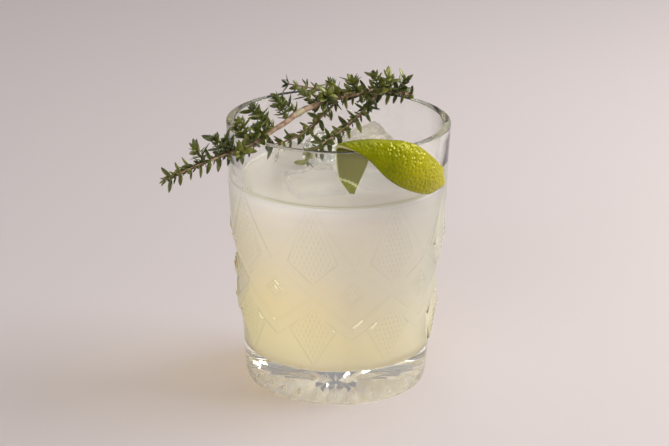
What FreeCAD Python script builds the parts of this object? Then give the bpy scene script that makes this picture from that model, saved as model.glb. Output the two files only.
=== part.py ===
import FreeCAD, Part
import Sketcher
import math
import os
import random

# Margarita in a pressed rocks tumbler: the glass, the drink, four ice cubes that
# stand out of the drink, a strip of lime peel over the rim and a thyme sprig
# lying across it. Millimetres, +Z up, origin at the centre of the glass's foot.

V = FreeCAD.Vector
doc = FreeCAD.newDocument("margarita")

# ---------------------------------------------------------------- driving sizes
sheet = doc.addObject("Spreadsheet::Sheet", "Sizes")
driving_sizes = [
    ("rim_radius", 42.0, "outside of the lip"),
    ("glass_height", 101.5, "foot to lip"),
    ("rim_wall", 3.1, "wall thickness at the lip"),
    ("foot_radius", 33.6, "ring the glass stands on"),
    ("base_thickness", 12.5, "solid glass under the drink"),
    ("relief", 1.5, "how far the pressed diamonds stand out at their corners"),
    ("columns", 8, "columns of diamonds round the glass"),
    ("column_turn", -13.5, "first column, degrees from the front"),
    ("drink_fill", 0.756, "share of the cavity's depth that the drink fills"),
    ("drink_gap", 0.12, "drink to wall"),
    ("ice_edge", 20.8, "side of an ice cube, if four of them fit side by side"),
    ("ice_bevel", 1.6, "melted corner of an ice cube"),
    ("peel_thickness", 1.6, "zest and pith together"),
    ("stem_radius", 1.05, "thickest part of the thyme's stem"),
    ("leaf_length", 5.2, "thyme leaf"),
    ("seat_gap", 0.2, "garnish to the lip it rests on"),
]
for row, (name, value, note) in enumerate(driving_sizes, start=1):
    sheet.set(f"A{row}", name)
    sheet.set(f"B{row}", str(value))
    sheet.setAlias(f"B{row}", name)
    sheet.set(f"C{row}", note)
worked_out = [
    ("drink_level", "=base_thickness + drink_fill * (glass_height - base_thickness)"),
    ("cavity_foot", "=foot_radius - 1.7"),
    ("cavity_lip", "=rim_radius - rim_wall"),
    ("flare", "=(cavity_lip - cavity_foot) / (glass_height - 2 - base_thickness - 4.5)"),
    ("ice_side", "=min(ice_edge; 0.565 * (cavity_foot + flare * (drink_level - base_thickness - 4.5)))"),
]
for row, (name, formula) in enumerate(worked_out, start=len(driving_sizes) + 1):
    sheet.set(f"A{row}", name)
    sheet.set(f"B{row}", formula)
    sheet.setAlias(f"B{row}", name)
doc.recompute()


def size(expression):
    value = sheet.evalExpression(expression)
    return float(getattr(value, "Value", value))


# ---------------------------------------------------------------- sketch helper
def plane_of(body, role):
    return next(f for f in body.Origin.OriginFeatures if f.Role == role)


def bound_outline(body, name, corners, offset=None):
    """Closed outline on the XZ plane whose corners follow the sheet."""
    sketch = body.newObject("Sketcher::SketchObject", name)
    sketch.AttachmentSupport = [(plane_of(body, "XZ_Plane"), "")]
    sketch.MapMode = "FlatFace"
    if offset:
        sketch.AttachmentOffset = offset
    spots = [V(size(x), size(y), 0) for x, y in corners]
    for here, there in zip(spots, spots[1:] + spots[:1]):
        sketch.addGeometry(Part.LineSegment(here, there), False)
    for i in range(len(spots)):
        sketch.addConstraint(Sketcher.Constraint("Coincident", i, 2, (i + 1) % len(spots), 1))
    for i, (x, y) in enumerate(corners):
        for kind, axis, text, value in (("DistanceX", -2, x, spots[i].x), ("DistanceY", -1, y, spots[i].y)):
            if text == "0":
                sketch.addConstraint(Sketcher.Constraint("PointOnObject", i, 1, axis))
            else:
                index = sketch.addConstraint(Sketcher.Constraint(kind, -1, 1, i, 1, value))
                sketch.setExpression(f"Constraints[{index}]", text)
    return sketch


# ---------------------------------------------------------------- glass
# One pressed piece: revolved outside, eight columns with a tall diamond above and
# a second one below, small diamonds between the columns, then the cavity.
glass = doc.addObject("PartDesign::Body", "glass")
glass.Label = "glass"

H = "Sizes.glass_height"
R = "Sizes.rim_radius"
F = "Sizes.foot_radius"
base_top = "Sizes.base_thickness"


def cavity_radius(height):
    return f"(Sizes.cavity_foot + Sizes.flare * (({height}) - {base_top} - 4.5))"


def wall_point(share_of_height, walls):
    """A corner of the outside, some wall thicknesses out from the cavity."""
    height = f"{H} * {share_of_height}"
    return (f"{cavity_radius(height)} + Sizes.rim_wall * {walls}", height)


outside = bound_outline(glass, "outside_outline", [
    ("0", "0"),
    (F, "0"),
    (f"{F} + 0.9", f"{H} * 0.012"),
    (f"{F} + 1.3", f"{H} * 0.05"),
    (f"{F} + 1.9", f"{H} * 0.13"),
    wall_point(0.20, 1.17),
    wall_point(0.31, 1.47),
    wall_point(0.40, 1.16),
    wall_point(0.50, 1.20),
    wall_point(0.60, 1.39),
    wall_point(0.70, 1.33),
    (R, f"{H} - 2"),
    (f"{R} - 0.35", f"{H} - 0.6"),
    (f"{R} - 1.1", H),
    ("0", H),
])
turned = glass.newObject("PartDesign::Revolution", "outside")
turned.Profile = outside
turned.ReferenceAxis = (outside, ["V_Axis"])
turned.Angle = 360


def raised_diamond(name, share_of_height, walls, lean, half_width, up, down, round_by=0):
    """A flat-faced diamond with bevelled sides, standing out of the front of the wall."""
    face_radius, centre_height = wall_point(share_of_height, walls)
    rings = []
    round_turn = FreeCAD.Rotation(V(0, 1, 0), round_by)
    for label, depth, grow in (("root", 2.4, 1.6), ("face", 0, 0)):
        out = f"({face_radius} + Sizes.relief - {depth})"
        spot = round_turn.multVec(V(0, 0, size(out))) + V(0, size(centre_height), 0)
        tilt = round_turn.multiply(FreeCAD.Rotation(V(1, 0, 0), lean))
        ring = bound_outline(glass, f"{name}_{label}", [
            (f"{half_width} + {grow}", "0"),
            ("0", f"{up} + {grow}"),
            (f"-({half_width} + {grow})", "0"),
            ("0", f"-({down} + {grow})"),
        ], FreeCAD.Placement(spot, tilt))
        ring.setExpression(".AttachmentOffset.Base.x", f"{out} * sin({round_by} deg)")
        ring.setExpression(".AttachmentOffset.Base.y", centre_height)
        ring.setExpression(".AttachmentOffset.Base.z", f"{out} * cos({round_by} deg)")
        rings.append(ring)
    loft = glass.newObject("PartDesign::AdditiveLoft", name)
    loft.Profile = rings[0]
    loft.Sections = [rings[1]]
    return loft


diamonds = [
    raised_diamond("upper_diamond", 0.575, 1.07, 3.6, f"{R} * 0.2", f"{H} * 0.215", f"{H} * 0.075"),
    raised_diamond("lower_diamond", 0.305, 1.13, 4.6, f"{R} * 0.2", f"{H} * 0.092", f"{H} * 0.13"),
    raised_diamond("small_diamond", 0.447, 0.78, 3, f"{R} * 0.085", f"{R} * 0.09", f"{R} * 0.09",
                   180 / size("Sizes.columns")),
]
pattern = glass.newObject("PartDesign::PolarPattern", "diamond_columns")
pattern.Originals = diamonds
pattern.Axis = (plane_of(glass, "Z_Axis"), [""])
pattern.Angle = 360
pattern.Occurrences = int(size("Sizes.columns"))
pattern.setExpression("Occurrences", "Sizes.columns")
glass.Tip = pattern

cavity = bound_outline(glass, "cavity_outline", [
    ("0", base_top),
    ("Sizes.cavity_foot - 2.9", base_top),
    ("Sizes.cavity_foot - 0.9", f"{base_top} + 1.4"),
    ("Sizes.cavity_foot", f"{base_top} + 4.5"),
    ("Sizes.cavity_lip", f"{H} - 2"),
    ("Sizes.cavity_lip + 0.3", f"{H} - 0.6"),
    ("Sizes.cavity_lip + 1.1", f"{H} + 0.01"),
    ("0", f"{H} + 0.01"),
])
hollow = glass.newObject("PartDesign::Groove", "cavity")
hollow.Profile = cavity
hollow.ReferenceAxis = (cavity, ["V_Axis"])
hollow.Angle = 360
glass.Tip = hollow
glass.Placement = FreeCAD.Placement(V(0, 0, 0), FreeCAD.Rotation(V(0, 0, 1), size("Sizes.column_turn")))

# ---------------------------------------------------------------- ice
# Four cubes that float with their tops out of the drink, each tipped its own way.
# Places across are shares of the cavity's radius at the surface; the rise of the
# cube's middle over the surface is a share of its side.
level = size("Sizes.drink_level")
surface_radius = size(cavity_radius("Sizes.drink_level"))
edge = size("Sizes.ice_side")
ice_places = [
    ("ice_back", 0.300, 0.405, 0.06, 1.0, (17, -14, 24)),
    ("ice_left", -0.417, 0.243, -0.10, 0.98, (-7, 9, -12)),
    ("ice_front", -0.220, -0.440, -0.20, 0.98, (6, -5, 20)),
    ("ice_right", 0.486, -0.284, -0.16, 0.98, (-6, 8, -8)),
]
cubes = []
for name, x, y, rise, share, (tip_x, tip_y, turn) in ice_places:
    block = doc.addObject("Part::Box", f"{name}_block")
    for side in ("Length", "Width", "Height"):
        block.setExpression(side, f"Sizes.ice_side * {share}")
    cube = doc.addObject("Part::Chamfer", name)
    cube.Base = block
    bevel = size("Sizes.ice_bevel")
    cube.Edges = [(i, bevel, bevel) for i in range(1, 13)]
    cube.Label = name
    half = edge * share / 2
    turned_by = FreeCAD.Rotation(turn, tip_y, tip_x)
    centre = V(x * surface_radius, y * surface_radius, level + rise * edge)
    cube.Placement = FreeCAD.Placement(centre - turned_by.multVec(V(half, half, half)), turned_by)
    cubes.append(cube)

# ---------------------------------------------------------------- drink
# Everything between the base and the surface, cut round the ice.
pour = doc.addObject("PartDesign::Body", "pour")
gap = "Sizes.drink_gap"
pour_outline = bound_outline(pour, "pour_outline", [
    ("0", f"{base_top} + {gap}"),
    (f"Sizes.cavity_foot - 2.9 - {gap}", f"{base_top} + {gap}"),
    (f"Sizes.cavity_foot - 0.9 - {gap}", f"{base_top} + 1.4 + {gap}"),
    (f"Sizes.cavity_foot - {gap}", f"{base_top} + 4.5 + {gap}"),
    (f"{cavity_radius('Sizes.drink_level')} - {gap}", "Sizes.drink_level"),
    ("0", "Sizes.drink_level"),
])
poured = pour.newObject("PartDesign::Revolution", "poured")
poured.Profile = pour_outline
poured.ReferenceAxis = (pour_outline, ["V_Axis"])
poured.Angle = 360
pour.Placement = glass.Placement
doc.recompute()
all_ice = doc.addObject("Part::Compound", "all_ice")
all_ice.Links = cubes
drink = doc.addObject("Part::Cut", "drink")
drink.Base = pour
drink.Tool = all_ice
drink.Label = "drink"
doc.recompute()


# ---------------------------------------------------------------- faceted solids
def closed_solid(triangles):
    faces = [Part.Face(Part.makePolygon([a, b, c, a])) for a, b, c in triangles]
    shell = Part.makeShell(faces)
    shell.sewShape()
    solid = Part.Solid(shell)
    if solid.Volume < 0:
        solid.reverse()
    return solid


def quad(a, b, c, d):
    return [(a, b, c), (a, c, d)]


def unit(v):
    return V(v).normalize()


# ---------------------------------------------------------------- lime peel
# A strip that starts inside the glass with its pith to the wall, turns over the
# lip on the slant and hangs down outside with the zest outwards. Each station
# gives both edges: degrees round from the front, distance from the middle of the
# wall in wall thicknesses, and height over the lip; then how far it bellies out.
mid_wall = size("Sizes.rim_radius - Sizes.rim_wall / 2")
wall = size("Sizes.rim_wall")
lip = size("Sizes.glass_height")
drawn_flare = 0.085  # the cavity's slope that the inside stations were drawn for
peel_stations = [
    ((6.3, -1.25, -15.0), (9.0, -1.25, -15.2), 0.0),
    ((1.2, -1.25, -10.2), (12.4, -1.25, -10.2), 0.5),
    ((-0.5, -1.20, -5.4), (15.6, -1.20, -5.4), 0.7),
    ((-1.0, -1.15, -1.0), (18.2, -1.15, -1.0), 0.8),
    ((-1.2, -0.70, 2.2), (21.5, -0.62, 2.4), 0.8),
    ((0.4, 0.05, 3.7), (24.9, -0.05, 3.9), 0.9),
    ((5.6, 0.80, 3.2), (28.3, 0.40, 4.1), 1.1),
    ((11.6, 1.24, 1.0), (33.4, 0.75, 3.9), 1.5),
    ((16.8, 1.38, -2.8), (38.2, 0.95, 2.7), 1.9),
    ((22.2, 1.40, -7.4), (42.8, 1.12, 0.6), 2.2),
    ((30.1, 1.35, -12.0), (48.2, 1.22, -2.8), 2.3),
    ((41.8, 1.30, -16.2), (55.4, 1.28, -7.4), 2.0),
    ((53.5, 1.25, -18.6), (61.8, 1.28, -12.0), 1.2),
]


def round_glass(degrees_round, walls_out, over_lip):
    angle = math.radians(degrees_round)
    radius = mid_wall + walls_out * wall
    if walls_out < -1:
        radius += over_lip * (size("Sizes.flare") - drawn_flare)
    return V(radius * math.sin(angle), -radius * math.cos(angle), lip + over_lip)


across = 6
rails = [(round_glass(*a), round_glass(*b), belly) for a, b, belly in peel_stations]
middle = []
for i, (a, b, belly) in enumerate(rails):
    before = (rails[max(i - 1, 0)][0] + rails[max(i - 1, 0)][1]) * 0.5
    after = (rails[min(i + 1, len(rails) - 1)][0] + rails[min(i + 1, len(rails) - 1)][1]) * 0.5
    zest_way = unit((after - before).cross(b - a))
    row = []
    for j in range(across + 1):
        t = j / across
        row.append(a + (b - a) * t + zest_way * (belly * 4 * t * (1 - t)))
    middle.append(row)


def surface_normal(grid, i, j):
    along = grid[min(i + 1, len(grid) - 1)][j] - grid[max(i - 1, 0)][j]
    over = grid[i][min(j + 1, across)] - grid[i][max(j - 1, 0)]
    return unit(along.cross(over))


half = size("Sizes.peel_thickness") / 2
zest = [[p + surface_normal(middle, i, j) * half for j, p in enumerate(row)] for i, row in enumerate(middle)]
pith = [[p - surface_normal(middle, i, j) * half for j, p in enumerate(row)] for i, row in enumerate(middle)]
skin = []
last = len(middle) - 1
for i in range(last):
    for j in range(across):
        skin += quad(zest[i][j], zest[i + 1][j], zest[i + 1][j + 1], zest[i][j + 1])
        skin += quad(pith[i][j], pith[i][j + 1], pith[i + 1][j + 1], pith[i + 1][j])
    skin += quad(zest[i][0], pith[i][0], pith[i + 1][0], zest[i + 1][0])
    skin += quad(zest[i][across], zest[i + 1][across], pith[i + 1][across], pith[i][across])
for j in range(across):
    skin += quad(zest[0][j], zest[0][j + 1], pith[0][j + 1], pith[0][j])
    skin += quad(zest[last][j], pith[last][j], pith[last][j + 1], zest[last][j + 1])
peel_shape = closed_solid(skin)


def drop_to_lip(shape):
    """How far a garnish sinks before it is the seat gap away from the glass."""
    dropped = 0.0
    for _ in range(6):
        room = shape.distToShape(glass.Shape)[0] - size("Sizes.seat_gap")
        shape.translate(V(0, 0, -room))
        dropped += room
    return dropped


drop_to_lip(peel_shape)
peel = doc.addObject("Part::Feature", "lime_peel")
peel.Label = "lime_peel"
peel.Shape = peel_shape

# ---------------------------------------------------------------- thyme sprig
# One woody main stem lies across the lip, front left to back right, arched in
# between. Side branches and short shoots carry pairs of small leaves. Stems are
# in lip radii across and millimetres over the lip, then thickness as a share.
main_stem = [
    (-1.426, -1.548, -2.1, 0.30), (-1.233, -1.336, -0.9, 0.42), (-1.038, -1.119, 0.0, 0.52),
    (-0.900, -0.971, 0.4, 0.62), (-0.795, -0.855, 0.8, 0.70), (-0.698, -0.745, 1.5, 0.78),
    (-0.590, -0.629, 3.6, 0.84), (-0.464, -0.488, 5.6, 0.92), (-0.338, -0.350, 7.9, 1.0),
    (-0.167, -0.160, 9.0, 1.0), (-0.033, -0.014, 9.4, 1.0), (0.100, 0.131, 9.0, 0.95),
    (0.233, 0.281, 8.2, 0.90), (0.417, 0.483, 6.6, 0.82), (0.560, 0.638, 4.0, 0.75),
    (0.640, 0.729, 1.75, 0.66), (0.678, 0.771, 1.3, 0.6),
]
branches = [
    [(0.352, 0.412, 7.1, 0.66), (0.236, 0.181, 2.6, 0.6), (0.100, -0.083, 0.2, 0.5),
     (0.014, -0.255, -0.7, 0.42), (-0.117, -0.510, -1.3, 0.34), (-0.200, -0.676, -1.9, 0.28),
     (-0.262, -0.775, -5.2, 0.2)],
    [(-0.012, 0.010, 9.4, 0.5), (-0.071, -0.048, 6.0, 0.42), (-0.200, -0.214, 2.5, 0.36),
     (-0.336, -0.429, 0.2, 0.32), (-0.464, -0.524, -1.0, 0.28), (-0.560, -0.570, -1.6, 0.2)],
    [(0.0, 0.024, 9.3, 0.5), (-0.119, 0.062, 11.5, 0.42), (-0.240, 0.048, 12.4, 0.36),
     (-0.348, 0.062, 13.0, 0.3), (-0.452, 0.083, 13.5, 0.2)],
]
# where along the main stem, which way it grows, how long
shoots = [
    (1.6, (-0.5, 0.2, 0.8), 5), (2.6, (-0.55, 0.0, 0.8), 6), (3.4, (-0.7, -0.3, 0.5), 6),
    (4.0, (-0.2, -0.8, -0.1), 6), (4.5, (-0.35, 0.15, 0.9), 7), (5.0, (-0.8, 0.25, 0.45), 8),
    (5.4, (-0.3, -0.5, 0.6), 5), (5.9, (-0.5, 0.3, 0.8), 8), (6.4, (-0.8, 0.35, 0.25), 8),
    (7.2, (-0.5, 0.3, 0.8), 7), (7.9, (-0.75, 0.25, 0.5), 8), (8.7, (-0.5, 0.3, 0.6), 6),
    (9.4, (0.1, -0.6, 0.7), 4), (10.4, (-0.5, 0.3, 0.6), 5), (11.4, (-0.4, 0.2, 0.7), 4.5),
    (12.0, (0.2, -0.5, -0.7), 7), (12.7, (-0.2, 0.3, 0.7), 4.5), (13.2, (0.1, -0.2, 0.8), 5),
    (13.9, (0.45, -0.3, 0.65), 5.5),
]


def placed(path, sink=0.0):
    radius = size("Sizes.rim_radius")
    thick = size("Sizes.stem_radius")
    return [(V(x * radius, y * radius, lip + z - sink), share * thick) for x, y, z, share in path]


def tube(path, sides):
    rings = []
    for i, (p, r) in enumerate(path):
        way = unit(path[min(i + 1, len(path) - 1)][0] - path[max(i - 1, 0)][0])
        side = unit(way.cross(V(0.13, 0.21, 1)))
        up = side.cross(way)
        rings.append([
            p + side * (r * math.cos(k * 2 * math.pi / sides)) + up * (r * math.sin(k * 2 * math.pi / sides))
            for k in range(sides)
        ])
    triangles = []
    for near, far in zip(rings, rings[1:]):
        for k in range(sides):
            n = (k + 1) % sides
            triangles += quad(near[k], near[n], far[n], far[k])
    for k in range(1, sides - 1):
        triangles.append((rings[0][0], rings[0][k + 1], rings[0][k]))
        triangles.append((rings[-1][0], rings[-1][k], rings[-1][k + 1]))
    return closed_solid(triangles)


def leaf(root, way, length, facing):
    """A thin pointed leaf, thicker along its middle."""
    way = unit(way)
    side = unit(way.cross(facing))
    flat = side.cross(way)
    wide = length * 0.2
    thin = length * 0.06
    tip = root + way * length
    belly = root + way * (length * 0.55)
    left, right = belly + side * wide, belly - side * wide
    top, under = belly + flat * thin, belly - flat * thin
    triangles = []
    for edge_a, edge_b in ((right, top), (top, left), (left, under), (under, right)):
        triangles.append((root, edge_b, edge_a))
        triangles.append((tip, edge_a, edge_b))
    return closed_solid(triangles), [root + way * (length * s) for s in (0.4, 0.7, 1.0)] + [left, right]


def clear_of_glass(points):
    margin = 0.5
    inner = size("Sizes.rim_radius - Sizes.rim_wall") - margin
    outer = size("Sizes.rim_radius") + margin
    sides = set()
    for p in points:
        r = math.hypot(p.x, p.y)
        if p.z > lip + margin:
            sides.add("over")
        elif r < inner - (lip - p.z) * size("Sizes.flare"):
            sides.add("in")
        elif r > outer:
            sides.add("out")
        else:
            return False
    return not ("in" in sides and "out" in sides)


main = placed(main_stem)
trial = tube(main, 7)
sink = drop_to_lip(trial)
main = placed(main_stem, sink)


def along(path, where):
    i = min(int(where), len(path) - 2)
    t = where - i
    (p, r), (q, s) = path[i], path[i + 1]
    return p + (q - p) * t, r + (s - r) * t, unit(q - p)


dice = random.Random(11)
pieces = [tube(main, 7)]
bearing = []
for path in branches:
    stem = placed(path, sink)
    pieces.append(tube(stem, 5))
    bearing.append((stem, 4.2))
for where, way, length in shoots:
    root, _, _ = along(main, where)
    way = unit(V(*way))
    bend = V(dice.uniform(-0.2, 0.2), dice.uniform(-0.2, 0.2), 0.15)
    stem = [(root, 0.38), (root + way * (length * 0.5), 0.32), (root + (way + bend) * length, 0.22)]
    pieces.append(tube(stem, 5))
    bearing.append((stem, 3.0))
bearing.append((main[4::-1], 3.4))
bearing.append((main[:9:-1], 3.6))

full_leaf = size("Sizes.leaf_length")
for stem, spacing in bearing:
    run = [(p - q).Length for (p, _), (q, _) in zip(stem[1:], stem)]
    total = sum(run)
    count = max(2, int(total / spacing))
    quarter = dice.uniform(0, math.pi)
    for n in range(count + 1):
        travelled = total * (n + 0.35) / (count + 0.5)
        travelled = min(travelled, total * 0.985)
        i = 0
        while i < len(run) - 1 and travelled > run[i]:
            travelled -= run[i]
            i += 1
        root, _, way = along(stem, i + travelled / run[i])
        side = unit(way.cross(V(0.3, 0.1, 1)))
        up = side.cross(way)
        quarter += math.pi / 2 + dice.uniform(-0.4, 0.4)
        tuft = 3 if n == count else 2
        for k in range(tuft):
            turn = quarter + k * 2 * math.pi / tuft
            outward = side * math.cos(turn) + up * math.sin(turn)
            lean = dice.uniform(0.35, 0.8)
            grow = outward + way * lean
            length = full_leaf * dice.uniform(0.7, 1.1) * (0.75 if n == count else 1)
            blade, marks = leaf(root, grow, length, way - outward * lean)
            if clear_of_glass(marks):
                pieces.append(blade)

sprig_shape = pieces[0].multiFuse(pieces[1:])
if len(sprig_shape.Solids) == 1:
    sprig_shape = sprig_shape.Solids[0]
sprig = doc.addObject("Part::Feature", "thyme_sprig")
sprig.Label = "thyme_sprig"
sprig.Shape = sprig_shape
doc.recompute()

# ---------------------------------------------------------------- check and save
nodes = [("glass", glass), ("drink", drink), ("lime_peel", peel), ("thyme_sprig", sprig)]
nodes += [(cube.Name, cube) for cube in cubes]
for thing in doc.Objects:
    if "Invalid" in thing.State or "Error" in thing.State:
        raise SystemExit(f"{thing.Name} failed to build: {thing.State}")
os.makedirs("parts", exist_ok=True)
for name, thing in nodes:
    shape = thing.Shape
    if shape.isNull() or not shape.isValid() or len(shape.Solids) != 1:
        raise SystemExit(f"{name} is not one sound solid: {len(shape.Solids)} solids")
    shape.exportStep(f"parts/{name}.step")
    print(name, round(shape.Volume / 1000, 2), "cm3", len(shape.Faces), "faces", shape.BoundBox)
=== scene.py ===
import bpy
import bmesh
import math
import numpy as np
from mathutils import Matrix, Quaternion, Vector


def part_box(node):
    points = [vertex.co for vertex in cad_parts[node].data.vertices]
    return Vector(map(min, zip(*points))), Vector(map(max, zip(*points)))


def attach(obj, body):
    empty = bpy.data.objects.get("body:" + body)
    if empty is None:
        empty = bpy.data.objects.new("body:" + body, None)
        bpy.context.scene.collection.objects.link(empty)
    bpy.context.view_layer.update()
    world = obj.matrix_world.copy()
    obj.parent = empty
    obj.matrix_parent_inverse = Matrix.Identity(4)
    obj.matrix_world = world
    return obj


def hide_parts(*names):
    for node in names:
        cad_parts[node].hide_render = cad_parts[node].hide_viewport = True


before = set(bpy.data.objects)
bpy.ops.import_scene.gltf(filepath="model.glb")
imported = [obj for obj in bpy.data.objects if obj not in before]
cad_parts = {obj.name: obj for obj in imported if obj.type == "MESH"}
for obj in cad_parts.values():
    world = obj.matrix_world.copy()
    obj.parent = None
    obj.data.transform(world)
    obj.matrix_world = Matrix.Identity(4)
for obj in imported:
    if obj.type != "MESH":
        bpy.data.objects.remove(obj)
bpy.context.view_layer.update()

# ------------------------------------------------------------------ tumbler
# A pressed rocks glass: thick clear base, eight columns of tall diamonds filled with
# hobnails, smooth ribs crossing between them and a small stepped diamond in each gap.
# The plunger leaves the cavity plain, and the mould's floor presses in a star.
glass_low, glass_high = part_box("glass")
lip_radius = (glass_high.x - glass_low.x) / 2
glass_height = glass_high.z
foot_radius = lip_radius * 0.8
wall = lip_radius * 0.0738
base_top = glass_height * 0.1232
cavity_foot = foot_radius - 0.0017
cavity_lip = lip_radius - wall
floor_round = 0.0045
cavity_bend = base_top + floor_round
flare = (cavity_lip - cavity_foot) / (glass_height - 0.002 - cavity_bend)
columns = 8
column_step = 2 * math.pi / columns
first_column = math.radians(-13.5)
column_radius = lip_radius * 0.94
gap_radius = lip_radius * 0.92
diamond_stands_out = 0.00135
hobnail_pitch = 0.00175
hobnail_slope = 2.36
hobnail_height = 0.00062


def smooth_step(x, low, high):
    t = np.clip((x - low) / (high - low), 0, 1)
    return t * t * (3 - 2 * t)


def cavity_radius(height):
    return cavity_foot + flare * (height - cavity_bend)


def plain_outside(height):
    """Radius of the outside before the pattern is pressed in."""
    share = height / glass_height
    marks = [0, 0.012, 0.05, 0.13, 0.20, 0.31, 0.40, 0.50, 0.60, 0.70, 0.98]
    radii = [foot_radius - 0.0004, foot_radius + 0.0009, foot_radius + 0.0013, foot_radius + 0.0019]
    for mark, walls in zip(marks[4:], (1.17, 1.42, 1.16, 1.18, 1.34, 1.30)):
        radii.append(cavity_radius(mark * glass_height) + wall * walls)
    radii.append(lip_radius)
    fine = np.linspace(0, 1, 400)
    rough = np.interp(fine, marks, radii)
    kernel = np.hanning(27)
    padded = np.pad(rough, 13, mode="edge")
    eased = np.convolve(padded, kernel / kernel.sum(), mode="valid")
    return np.interp(share, fine, eased)


def diamond_inside(across, height, middle, half_width, up, down):
    """Distance inside a diamond's edge, negative outside it."""
    reach = np.where(height > middle, up, down)
    slant = np.hypot(half_width, reach)
    return (half_width * reach - np.abs(across) * reach - np.abs(height - middle) * half_width) / slant


def hobnails(across, height, pitch):
    """Rows of little rounded points, 0 in the grooves and 1 at the tips."""
    a = across / pitch + height / (pitch * hobnail_slope)
    b = across / pitch - height / (pitch * hobnail_slope)
    return 0.5 + 0.25 * (np.cos(2 * math.pi * a) + np.cos(2 * math.pi * b))


def pressed_outside(angle, height):
    """Radius of the patterned outside. angle 0 is the front, growing to the right."""
    plain = plain_outside(height)
    turn = (angle - first_column + column_step / 2) % column_step - column_step / 2
    across = turn * column_radius
    gap_turn = (angle - first_column) % column_step - column_step / 2
    gap_across = gap_turn * gap_radius
    radius = plain.copy()

    # the smooth band under the lip comes down to a point between the columns
    half_step = column_step / 2 * column_radius
    fold = np.abs(across) / half_step
    band_edge = glass_height * (0.80 - 0.235 * fold)
    band = smooth_step(height - band_edge, -0.0012, 0.0012)
    band *= smooth_step(glass_height * 0.9 - height, 0, 0.02)
    radius += 0.0005 * band

    # smooth ribs run on from that point to the waist of the next column
    rib = glass_height * (0.455 + 0.11 * fold)
    radius += 0.00055 * np.exp(-((height - rib) / 0.0015) ** 2)
    lower_rib = glass_height * (0.425 - 0.115 * fold)
    step_out = smooth_step(lower_rib - height, -0.0022, 0.0004)
    radius += 0.0008 * step_out * smooth_step(height - lower_rib, -0.0046, -0.003)

    # the tall diamond and the low one under it, each a tilted flat full of hobnails
    for middle, walls, lean, half_width, up, down in (
        (0.575, 1.07, 0.063, 0.2, 0.215, 0.075),
        (0.305, 1.13, 0.080, 0.2, 0.092, 0.13),
    ):
        centre = middle * glass_height
        flat = cavity_radius(centre) + wall * walls + diamond_stands_out + (height - centre) * lean
        face = flat / np.cos(turn)
        inside = diamond_inside(
            across, height, centre, half_width * lip_radius, up * glass_height, down * glass_height
        )
        step = smooth_step(inside, -0.0011, 0.0002)
        radius += step * (np.maximum(face, plain + 0.0002) - radius)
        nails = hobnails(across, height - centre, hobnail_pitch)
        radius += hobnail_height * smooth_step(inside, 0.0002, 0.0007) * nails
        radius -= 0.0003 * smooth_step(inside, 0.0, 0.0004)

    # the small stepped diamond in each gap
    centre = 0.447 * glass_height
    small = 0.118 * lip_radius
    inside = small - (np.abs(gap_across) + np.abs(height - centre)) * 0.94
    for start, rise in ((0.0, 0.0006), (0.0013, 0.0004), (0.0029, 0.0004)):
        radius += rise * smooth_step(inside, start, start + 0.0004)
    radius -= 0.0004 * np.exp(-((inside - 0.0008) / 0.0003) ** 2)
    radius -= 0.0004 * np.exp(-((inside - 0.0024) / 0.0003) ** 2)
    return np.minimum(radius, lip_radius)


def turned_mesh(name, rings):
    """Closed mesh from rings of points; the first and last ring shrink to the axis."""
    ring_count, per_ring, _ = rings.shape
    ring, spot = np.meshgrid(np.arange(ring_count - 1), np.arange(per_ring), indexing="ij")
    here = ring * per_ring
    above = here + per_ring
    after = (spot + 1) % per_ring
    faces = np.stack([here + spot, here + after, above + after, above + spot], -1)
    mesh = bpy.data.meshes.new(name)
    mesh.from_pydata(rings.reshape(-1, 3).tolist(), [], faces.reshape(-1, 4).tolist())
    mesh.update()
    made = bmesh.new()
    made.from_mesh(mesh)
    bmesh.ops.remove_doubles(made, verts=made.verts, dist=2e-6)
    bmesh.ops.recalc_face_normals(made, faces=made.faces)
    made.to_mesh(mesh)
    made.free()
    mesh.polygons.foreach_set("use_smooth", [True] * len(mesh.polygons))
    thing = bpy.data.objects.new(name, mesh)
    bpy.context.scene.collection.objects.link(thing)
    return thing


round_count = 800
angles = np.linspace(0, 2 * math.pi, round_count, endpoint=False)


def ring_at(radius, height):
    """One ring of points at a height; radius may differ from point to point."""
    radius = np.broadcast_to(radius, angles.shape)
    height = np.broadcast_to(height, angles.shape)
    return np.stack([radius * np.sin(angles), -radius * np.cos(angles), height], -1)


def star_underside(radius):
    """Rays pressed up into a hollowed underside that stands on a plain outer ring."""
    rays = np.abs((angles * 24 / (2 * math.pi)) % 1 - 0.5) * 2
    hollow = smooth_step(np.array(foot_radius - 0.005 - radius), 0, 0.007)
    return hollow * (0.0012 + 0.0026 * rays * smooth_step(np.array(radius), 0.002, 0.012))


on_axis = 1e-7
glass_rings = [ring_at(on_axis, 0.0012)]
for share in np.linspace(0.04, 0.97, 30):
    glass_rings.append(ring_at(foot_radius * share, star_underside(foot_radius * share)))
heel = 0.0012
for t in np.linspace(0, math.pi / 2, 6):
    radius = pressed_outside(angles, np.full_like(angles, heel)) - heel * (1 - math.sin(t))
    glass_rings.append(ring_at(radius, heel * (1 - math.cos(t))))
pattern_low, pattern_high = 0.12 * glass_height, 0.84 * glass_height
row_height = 0.0003
heights = np.concatenate([
    np.linspace(heel + 0.0008, pattern_low, 14, endpoint=False),
    np.arange(pattern_low, pattern_high, row_height),
    np.linspace(pattern_high, glass_height - 0.0011, 10),
])
for height in heights:
    glass_rings.append(ring_at(pressed_outside(angles, np.full_like(angles, height)), height))
lip_middle = (lip_radius + cavity_lip) / 2
lip_round = 0.0005
lip_flatness = 0.3
for t in np.linspace(0.1, math.pi - 0.1, 16):
    out = math.copysign(abs(math.cos(t)) ** lip_flatness, math.cos(t))
    drop = lip_round * (1 - math.sin(t) ** lip_flatness)
    glass_rings.append(ring_at(lip_middle + wall / 2 * out, glass_height - drop))
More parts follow.
